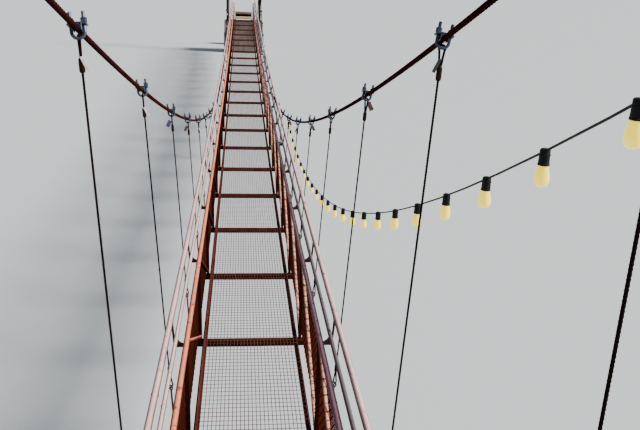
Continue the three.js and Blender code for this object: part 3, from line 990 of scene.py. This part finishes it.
# %% One clamp
def bevelled(hole, flat, low, high, rim, share_left):
    """Profile of a hexagon nut whose corners are turned off by a rim at both faces."""
    return [(hole, low), (flat * share_left, low), (flat, low + rim), (flat, high - rim),
            (flat * share_left, high), (hole, high)]


def clamp_shape():
    made = Shape()
    leg, leg_top, bow = 0.0215, 0.057, -0.0085
    under = [(b, 0, bow - a) for a, b in arc(leg, 0, math.pi, 15)]
    path = [(leg, 0, leg_top), (leg, 0, 0.03)] + under + [(-leg, 0, 0.03), (-leg, 0, leg_top)]
    made.sweep(path, circle(0.0058, 10), up=(0, 1, 0), ease=0.0015)
    flat = 0.0195 / 2 / math.cos(math.pi / 6)
    for x in (-leg, leg):
        for low, high in ((0.0187, 0.0282), (0.0285, 0.0360)):
            profile = bevelled(0.0062, flat, low, high, (high - low) * 0.14, 0.86)
            made.turned(profile, (x, 0, 0), sides=6)
        cheek = [(x * 0.66, 0, -0.006), (x * 0.66, 0, 0.0160)]
        made.sweep(cheek, rolled(0.0032, 0.038, 0.001), up=(0, 1, 0), ease=0.001)
        for z in np.arange(0.039, 0.056, 0.0035):
            hoop(made, (x, 0, z), (0, 0, 1), 0.0057, 0.0007, 10, 4)
    wings = [(x, 0, 0.0118 + 0.0062 * math.cos(x / 0.032 * 1.35))
             for x in np.linspace(-0.032, 0.032, 11)]
    made.sweep(wings, rolled(0.034, 0.0055, 0.0012), up=(0, 0, 1), ease=0.001)
    hugging = [(b, 0, a) for a, b in arc(0.0133, 0, math.pi, 11)]
    made.sweep(hugging, rolled(0.0040, 0.038, 0.001), up=(0, 1, 0), ease=0.001)
    return made


clamp = clamp_shape()
print("one clamp has", sum(len(q) for q in clamp.quads), "quads")

# %% All clamps
LEAN = {-1: -7, 1: 12}


def clamp_places(side):
    leaning = Matrix.Rotation(math.radians(LEAN[side]), 4, "Y")
    for i in range(1, BAYS):
        y = station(i)
        tilt = math.atan(climb(CABLE_RISE, y))
        place = Matrix.Translation((side * cable_x(y), y, cable_z(y)))
        yield place @ Matrix.Rotation(tilt, 4, "X") @ leaning


for name, side in SIDES.items():
    clamps = Shape()
    clamps.copies(clamp, clamp_places(side))
    clamps.piece(f"clamps_{name}", ZINC, "zinc")

# %% [markdown]
# ## Hangers
#
# A hanger is a thin wire rope with an eye at both ends, closed by a pressed ferrule. The upper
# eye hangs in the bow of its clamp. The lower eye holds an eye rod that goes down to the
# crossbeam. Near the middle of the span the hangers are so short that only a rod is left. All
# these parts follow one line from foot to cable, so one loop hands it to a function for each.

# %% Lines of the hangers
ROD_TOP, EYE, HEAD_EYE, FERRULE, ROPE_RADIUS = 0.40, 0.07, 0.091, 0.050, 0.0045


def hanger(i, side):
    """Foot, length and direction of a hanger, and whether there is room for a rope."""
    y = station(i)
    foot = np.array((side * foot_half(i), y, deck_z(y) - BEAM_DROP + 0.0012))
    line = (side * cable_x(y), y, cable_z(y)) - foot
    reach = np.linalg.norm(line)
    roped = reach - HEAD_EYE - FERRULE > ROD_TOP + EYE + FERRULE + 0.04
    return foot, reach, line / reach, roped


def along_hangers(kind, dress, material, slot):
    """One piece a side, to which dress adds at each hanger. It is handed all that is known."""
    for name, side in SIDES.items():
        made = Shape()
        for i in range(1, BAYS):
            dress(made, i, side, *hanger(i, side))
        made.piece(f"{kind}_{name}", material, slot)


print(sum(hanger(i, 1)[3] for i in range(1, BAYS)), "hangers a side have a rope")

# %% Ropes and their eyes
def eye_loop(made, tip, away, length, width, turned_by):
    """A drop-shaped rope eye from a ferrule at its tip, out to length."""
    flat = unit(np.cross(away, (0, 1, 0)))
    flat = flat * math.cos(turned_by) + np.array((0, 1, 0)) * math.sin(turned_by)
    bend = [(a, length - width + b) for a, b in arc(width, -2.2, 2.2, 17)]
    path = [tip + flat * x + away * d for x, d in [(-0.003, 0.0)] + bend + [(0.003, 0.0)]]
    made.sweep(path, circle(ROPE_RADIUS, 8), up=np.cross(flat, away))


def rope_and_eyes(made, i, side, foot, reach, up, roped):
    """The rope's lay is cut in only where the camera is near."""
    if not roped:
        return
    low, high, near = ROD_TOP + EYE, reach - HEAD_EYE, i < 8
    count = max(2, int((high - low) / (0.007 if near else 0.2)))
    made.sweep(foot + up * np.linspace(low, high, count + 1)[:, None],
               lobed(0.0046, 6, 2, 0.2) if near else circle(ROPE_RADIUS, 6),
               twist=16.0 if near else 0.0, up=(0, 1, 0))
    quarter = (1.3 if side < 0 else 0.75) + 0.25 * math.sin(5 * i)
    eye_loop(made, foot + up * high, up, HEAD_EYE - 0.019, 0.0115, quarter)
    eye_loop(made, foot + up * low, -up, 0.088, 0.016, 0.75)


along_hangers("hanger_ropes", rope_and_eyes, ROPE, "cable")

# %% Ferrules
PRESSED = [(0.0052, 0.0), (0.0078, 0.0012), (0.0096, 0.005), (0.0100, 0.010), (0.0100, 0.040),
           (0.0094, 0.0445), (0.0075, 0.0488), (0.0052, FERRULE)]


def two_ferrules(made, i, side, foot, reach, up, roped):
    if roped:
        made.turned(PRESSED, foot + up * (ROD_TOP + EYE), up, 14)
        made.turned(PRESSED, foot + up * (reach - HEAD_EYE - FERRULE), up, 14)


along_hangers("ferrules", two_ferrules, BRONZE, "cable")


# %% Eye rods with their nuts
def washer(hole, rim, low, high):
    return [(hole, low), (rim, low), (rim, high), (hole, high)]


def eye_rod(made, i, side, foot, reach, up, roped):
    top = ROD_TOP - 0.018 if roped else reach - 0.055
    rod = circle(0.006, 10)
    made.sweep([foot - up * 0.075, foot + up * (top - 0.013)], rod, up=(0, 1, 0), ease=0.001)
    hoop(made, foot + up * top, (0.7, 0.7, 0) if roped else (1, 0, 0), 0.0135, 0.0048, 18, 8)
    if not roped:
        made.sweep([foot + up * (top + 0.014), foot + up * (reach - 0.024)], rod, up=(0, 1, 0))
    for height in (0.001, -0.0645):
        base = foot + up * height
        made.turned(bevelled(0.006, 0.0105, 0.0, 0.010, 0.0012, 0.88), base, up, 6)
        made.turned(washer(0.006, 0.0135, -0.002, 0.0), base, up, 16)


along_hangers("eye_rods", eye_rod, ROD, "zinc")

# %% [markdown]
# ## Tags
#
# A blank strip of plastic is tied on at the upper ferrule of each rope. White and dark strips
# are 12 mm wide, and blue and brown ones about 25 mm. Some point a little inward, and others
# outward. A strip is a flat section swept along a short path, hardly bent, because the plastic
# is stiff.

# %% Finish of the tags
def plastic(name, fresh, dull):
    made = Finish(name, Metallic=0.0, Subsurface_Weight=0.05)
    dirt = noise(made, 45.0, 4.0, 0.6)
    return made.feed(Base_Color=blend(ramp(dirt, 0.42, 0.62), fresh, dull),
                     Roughness=dirt * 0.3 + 0.3, Normal=relief(dirt, 0.2, 0.0005))


TAGS = {"white": plastic("white_tag", (0.94, 0.92, 0.90), (0.80, 0.76, 0.72)),
        "blue": plastic("blue_tag", (0.055, 0.06, 0.17), (0.03, 0.035, 0.09)),
        "brown": plastic("brown_tag", (0.075, 0.035, 0.035), (0.04, 0.02, 0.02)),
        "dark": plastic("dark_tag", (0.016, 0.020, 0.022), (0.008, 0.010, 0.010))}
print("tags:", ", ".join(TAGS))

# %% Strips and their ties
ORDER = {"left": ("white", "white", "blue", "brown"), "right": ("dark", "brown", "white", "brown")}
OUTWARD = {("left", "blue"), ("left", "brown"), ("right", "brown"), ("right", "white")}
SIZE = {"white": (0.012, 0.046), "dark": (0.012, 0.046), "blue": (0.026, 0.044),
        "brown": (0.024, 0.044)}


def strip(made, name, colour, foot, reach, up):
    side = SIDES[name]
    wide, long = SIZE[colour]
    raised = (0.021 if side > 0 else 0.0) + (0.026 if wide > 0.02 else 0.0)
    along = side if (name, colour) in OUTWARD else -side
    top = foot + up * (reach - HEAD_EYE + 0.006 + raised) + (0, raised * 0.2 - 0.010, 0)
    start = 0.004 + (wide - 0.012) / 2
    path = [top + (along * (start + 0.48 * long * t), -0.004 - 0.003 * t * t, -long * t)
            for t in np.linspace(0, 1, 5)]
    made.sweep(path, rolled(wide, 0.0012, 0.0003), up=(0, 1, 0))
    hoop(made, foot + up * (reach - HEAD_EYE + 0.002), up, 0.0075, 0.0011, 14, 5)


for colour, coat in TAGS.items():
    tags = Shape()
    for name, side in SIDES.items():
        for i in range(1, BAYS):
            foot, reach, up, roped = hanger(i, side)
            if roped and ORDER[name][(min(i, BAYS - i) - 2) % 4] == colour:
                strip(tags, name, colour, foot, reach, up)
    tags.piece(f"tags_{colour}", coat, "zinc")

# %% [markdown]
# ## Timber and concrete
#
# The first step is pale and the second has gone grey. The boards under the second step are
# nearly black, which is painted shade. One recipe with three sets of colours puts the grain along
# each board, dark checks and a bleached top. The abutments and anchor blocks are cast concrete,
# with fine pores and dark streaks that rain has left down the sides. Both are noises in the
# object's metres, stretched along the grain or downward.

# %% Finishes of the ends
def timber(name, grain_dark, grain_light, bleached):
    made = Finish(name, Metallic=0.0, Specular_IOR_Level=0.1)
    grain = noise(made, 9.0, 6.0, 0.62, stretched(made, (1.3, 20.0, 20.0)))
    checks = noise(made, 16.0, 3.0, 0.5, stretched(made, (0.6, 14.0, 14.0)))
    board = noise(made, 3.1, 1.0)
    top = ramp(upward(made) + (board - 0.5) * 0.5, 0.5, 1.0, 0.0, 0.6)
    colour = blend(ramp(grain, 0.34, 0.66), grain_dark, grain_light)
    colour = blend(top, colour, bleached)
    colour = blend(ramp(checks, 0.30, 0.36, 0.85, 0.0), colour, (0.06, 0.04, 0.03))
    return made.feed(Base_Color=colour, Roughness=grain * 0.2 + 0.65,
                     Normal=relief(grain + checks, 0.5, 0.0015))


def cast():
    made = Finish("cast_concrete", Metallic=0.0)
    broad = noise(made, 2.4, 4.0, 0.6)
    sand = noise(made, 240.0, 3.0)
    holes = ramp(noise(made, 75.0, 2.0), 0.27, 0.32, 1.0, 0.0)
    runs = noise(made, 2.6, 5.0, 0.6, stretched(made, (3.2, 3.2, 0.35)))
    wet = ramp(runs + (0.5 - upward(made)) * 0.12, 0.50, 0.68, 0.0, 0.8)
    colour = blend(ramp(broad, 0.36, 0.64), (0.30, 0.28, 0.25), (0.17, 0.16, 0.14))
    colour = blend(wet, colour, (0.065, 0.06, 0.048))
    colour = blend(holes, colour, (0.05, 0.047, 0.04))
    return made.feed(Base_Color=colour, Roughness=sand * 0.15 + 0.75,
                     Normal=relief(sand * 0.4 + broad * 0.6 - holes, 0.5, 0.002))


NEW_BOARD = timber("pale_timber", (0.52, 0.36, 0.20), (0.86, 0.68, 0.44), (0.88, 0.76, 0.56))
OLD_BOARD = timber("grey_timber", (0.16, 0.12, 0.10), (0.28, 0.22, 0.19), (0.30, 0.25, 0.22))
# Risers: nearly black, painted shade.
RISER = timber("shaded_timber", (0.012, 0.008, 0.006), (0.030, 0.021, 0.016), (0.035, 0.026, 0.02))
CONCRETE = cast()
print("finishes:", NEW_BOARD.name, OLD_BOARD.name, RISER.name, CONCRETE.name)

# %% [markdown]
# ## Towers
#
# Each leg is a square hollow section on a base plate with four anchor bolts. Two cheek plates at
# its top hold the saddle. A head beam with knee braces joins the legs above head height. Their
# sizes come from the solids, and the rounded corners, bolts and welds are added here.

# %% Slabs and bolts
DECK_END = deck_z(HALF)
PIER_TOP = DECK_END - BEAM_DROP - 0.0515 - GAP
SADDLE_FOOT = TOWER_TOP - SADDLE
LEG_X, LEG_HALF = 0.665, 0.045


def slab(made, x, y, z, corner=0.006, ease=0.002, grooves=()):
    """A block between pairs of limits, with rounded edges and level grooves round it."""
    centre = ((x[0] + x[1]) / 2, (y[0] + y[1]) / 2)
    wide, deep = abs(x[1] - x[0]), abs(y[1] - y[0])
    levels = [(z[0], ease), (z[0] + ease, 0), (z[1] - ease, 0), (z[1], ease)]
    for groove in grooves:
        levels[-2:-2] = [(groove - 0.006, 0), (groove - 0.002, 0.004), (groove + 0.002, 0.004),
                         (groove + 0.006, 0)]
    rings = []
    for height, less in levels:
        ring = rolled(wide - 2 * less, deep - 2 * less, max(corner - less, 0.0004))
        rings.append([(centre[0] + a, centre[1] + b, height) for a, b in ring])
    made.skin(np.array(rings)[::-1])


def about(middle, half):
    """Limits at both sides of a middle."""
    return middle - half, middle + half


def out(end, first, last):
    """Limits along Y from distances outward of the last station."""
    return sorted((end * (HALF + first), end * (HALF + last)))


def bolt(made, base, axis, radius, length):
    """A stud with a washer and a hexagon nut on it."""
    made.turned([(radius, 0), (radius, length - 0.001), (radius - 0.001, length)], base, axis, 12)
    flat = radius * 1.75
    made.turned(washer(radius, flat * 1.25, 0.0, 0.002), base, axis, 18)
    nut = bevelled(radius, flat, 0.002, radius * 1.5 + 0.0015, 0.0015, 0.9)
    made.turned(nut, base, axis, 6)


print("abutments end at", round(PIER_TOP, 3), "m, tower legs at", round(SADDLE_FOOT, 3), "m")


# %% Tower legs
def tower_leg(steel, bolts, end, side):
    x, y, foot = side * LEG_X, end * TOWER, PIER_TOP + 0.0163
    slab(steel, about(x, LEG_HALF), about(y, LEG_HALF), (PIER_TOP + 0.014, SADDLE_FOOT), 0.009)
    slab(steel, about(x, 0.1), about(y, 0.1), (PIER_TOP + GAP, foot), 0.008)
    square_weld(steel, (x, y, PIER_TOP + 0.0175), (0.047, 0, 0), (0, 0.047, 0), 0.0045)
    for inner in (CABLE_END_X + 0.023, CABLE_END_X - 0.030):
        slab(steel, sorted((side * inner, side * (inner + 0.007))), about(y, 0.06),
             (SADDLE_FOOT - 0.06, TOWER_TOP + 0.018), 0.002, 0.0015)
    for a in (-0.075, 0.075):
        for b in (-0.075, 0.075):
            bolt(bolts, (x + a, y + b, foot), (0, 0, 1), 0.009, 0.042)
    for b in (-0.034, 0.034):
        for face in (-1, 1):
            place = (side * CABLE_END_X + face * 0.0302, y + b, SADDLE_FOOT + 0.045)
            bolt(bolts, place, (face, 0, 0), 0.008, 0.02)


for part, end in ENDS.items():
    bolts = Shape()
    for name, side in SIDES.items():
        steel = Shape()
        tower_leg(steel, bolts, end, side)
        steel.piece(f"tower_leg_made_{part}_{name}", SHADE_COAT, "frame_paint",
                    f"tower_leg_{part}_{name}")
    bolts.piece(f"tower_bolts_{part}", ZINC, "zinc")

# %% Head beams and saddles
GROOVED = [(-0.021, -0.075), (0.021, -0.075), (0.021, 0.008), (0.017, 0.010), (0.011, 0.003),
           (0.006, 0.0), (-0.006, 0.0), (-0.011, 0.003), (-0.017, 0.010), (-0.021, 0.008)]


def head_beam(end):
    y, half, top = end * TOWER, LEG_X - LEG_HALF - GAP, SADDLE_FOOT - 0.06
    made = Shape().sweep([(-half, y, top - 0.05), (half, y, top - 0.05)], rolled(0.07, 0.10, 0.008))
    for side in (-1, 1):
        brace = [(side * (half - 0.022), y, top - 0.42), (side * (half - 0.4), y, top - 0.06)]
        made.sweep(brace, rolled(0.046, 0.046, 0.005), up=(0, 1, 0))
        square_weld(made, (side * (half - 0.002), y, top - 0.05), (0, 0.037, 0), (0, 0, 0.052),
                    0.004, (1, 0, 0))
    return made


def saddle(end, side):
    """A grooved shoe that follows the bend of the rope, on a base plate and three ribs."""
    x, y = side * CABLE_END_X, end * TOWER
    bend = [(x, y + a, SADDLE_FOOT + b) for a, b in arc(SADDLE - 0.0118, -1.36, 1.36, 21)]
    made = Shape().sweep(bend, np.array(GROOVED))
    for a in (-0.75, 0.0, 0.75):
        rib = [(x, y + 0.03 * math.sin(a), SADDLE_FOOT + 0.004),
               (x, y + 0.11 * math.sin(a), SADDLE_FOOT + 0.11 * math.cos(a))]
        made.sweep(rib, rolled(0.012, 0.030, 0.002), up=(1, 0, 0))
    slab(made, about(x, 0.0215), about(y, 0.15), (SADDLE_FOOT + GAP, SADDLE_FOOT + 0.012), 0.003)
    return made


for part, end in ENDS.items():
    head_beam(end).piece(f"head_beam_made_{part}", SHADE_COAT, "frame_paint", f"head_beam_{part}")
    for name, side in SIDES.items():
        saddle(end, side).piece(f"saddle_made_{part}_{name}", ZINC, "zinc",
                                f"saddle_{part}_{name}")

# %% [markdown]
# ## Abutments, anchor blocks and steps
#
# The abutments and anchors are cast in lifts, which leave a level line at each joint. A plate
# stands out of each anchor block, and the rope ends in a poured socket that is pinned to it.
# Timber steps lead off the deck over the abutment, with two screws at each end of a board. The
# concrete is a slab with grooves, and each board is a sweep that varies by a hair.

# %% Concrete and anchor fittings
PIER_HALF, PLATE_HALF = 0.8, 0.0125
SOCKET_END = [(0.011, 0.02), (0.024, 0.022), (0.027, 0.03), (0.025, 0.10), (0.015, 0.16),
              (0.0112, 0.162)]


def anchor(block, metal_parts, end, side):
    slab(block, about(side * 0.66, 0.23), out(end, 3.0, 3.5), (0.0, 0.52), 0.02, 0.012, (0.26,))
    plate = out(end, ANCHOR_OUT + 0.0094, ANCHOR_OUT + 0.12)
    slab(metal_parts, about(side * CABLE_END_X, PLATE_HALF), plate, (0.50, 0.64), 0.004)
    eye = np.array((side * CABLE_END_X, end * (HALF + ANCHOR_OUT), ANCHOR_UP))
    away = unit((side * CABLE_END_X, end * TOWER, TOWER_TOP) - eye)
    metal_parts.turned(SOCKET_END, eye, away, 20)
    for face in (-1, 1):
        cheek = eye + (face * 0.019, 0, 0)
        metal_parts.sweep([cheek + away * 0.05, cheek - away * 0.045], rolled(0.008, 0.04, 0.002))
        bolt(metal_parts, cheek - away * 0.028 + (face * 0.004, 0, 0), (face, 0, 0), 0.010, 0.02)


for part, end in ENDS.items():
    pier = Shape()
    slab(pier, (-PIER_HALF, PIER_HALF), out(end, -0.03, 1.0), (0.0, PIER_TOP), 0.03, 0.015,
         grooves=(0.42, 0.84))
    pier.piece(f"abutment_made_{part}", CONCRETE, "concrete", f"abutment_{part}")
    fittings = Shape()
    for name, side in SIDES.items():
        block = Shape()
        anchor(block, fittings, end, side)
        block.piece(f"anchor_made_{part}_{name}", CONCRETE, "concrete",
                    f"anchor_block_{part}_{name}")
    fittings.piece(f"anchor_fittings_{part}", ZINC, "zinc")

# %% Timber steps
SCREW = [(0.0052, -0.001), (0.0052, 0.0006), (0.0035, 0.0012), (0.0012, 0.0004)]


def boards(made, screws, along, low, high, count):
    """Boards side by side across the walkway, between limits along Y and over the deck's end."""
    thick = high - low
    edges = np.linspace(*along, count + 1)
    for first, last in zip(edges[:-1], edges[1:]):
        middle, wide = (first + last) / 2, last - first - 0.004
        level = DECK_END + (low + high) / 2 - wobble.uniform(0, 0.0015)
        reach = 0.349 - wobble.uniform(0, 0.003)
        made.sweep([(-reach, middle, level), (reach, middle, level)],
                   rolled(wide, thick, 0.005), ease=0.003)
        for x in (-0.33, -0.31, 0.31, 0.33):
            place = (x, middle + wobble.normal(0, wide * 0.12), level + thick / 2)
            screws.turned(SCREW, place, sides=10)


for part, end in ENDS.items():
    first, second, under, screws = Shape(), Shape(), Shape(), Shape()
    for side in (-1, 1):
        slab(under, sorted((side * 0.31, side * 0.35)), out(end, 0.06, 0.80),
             (PIER_TOP + GAP, DECK_END + 0.021), 0.004, 0.003)
    boards(first, screws, out(end, 0.06, 0.30), 0.022, 0.10, 2)
    boards(under, screws, out(end, 0.42, 0.80), 0.022, 0.197, 3)
    boards(second, screws, out(end, 0.38, 0.80), 0.198, 0.275, 3)
    whole = f"timber_steps_{part}"
    first.piece(f"first_step_{part}", NEW_BOARD, "timber", whole)
    second.piece(f"second_step_{part}", OLD_BOARD, "timber", whole)
    under.piece(f"step_risers_{part}", RISER, "timber", whole)
    screws.piece(f"step_screws_{part}", ZINC, "zinc")

# %% [markdown]
# ## The size of the dressed model
#
# Both boxes, of the solids and of the dressed model, are gathered, and the dressed box is printed
# with the number of triangles added. The dressed model must stay inside the box of its solids.

# %% Sizes and finish
made_low, made_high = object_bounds()
sizes = {"cad": [list(cad_low), list(cad_high)], "visual": [list(made_low), list(made_high)]}
print("triangles added:", sum(tally.values()), "largest:", max(tally.values()))
print("visual box", tuple(round(v, 4) for v in made_low), tuple(round(v, 4) for v in made_high))
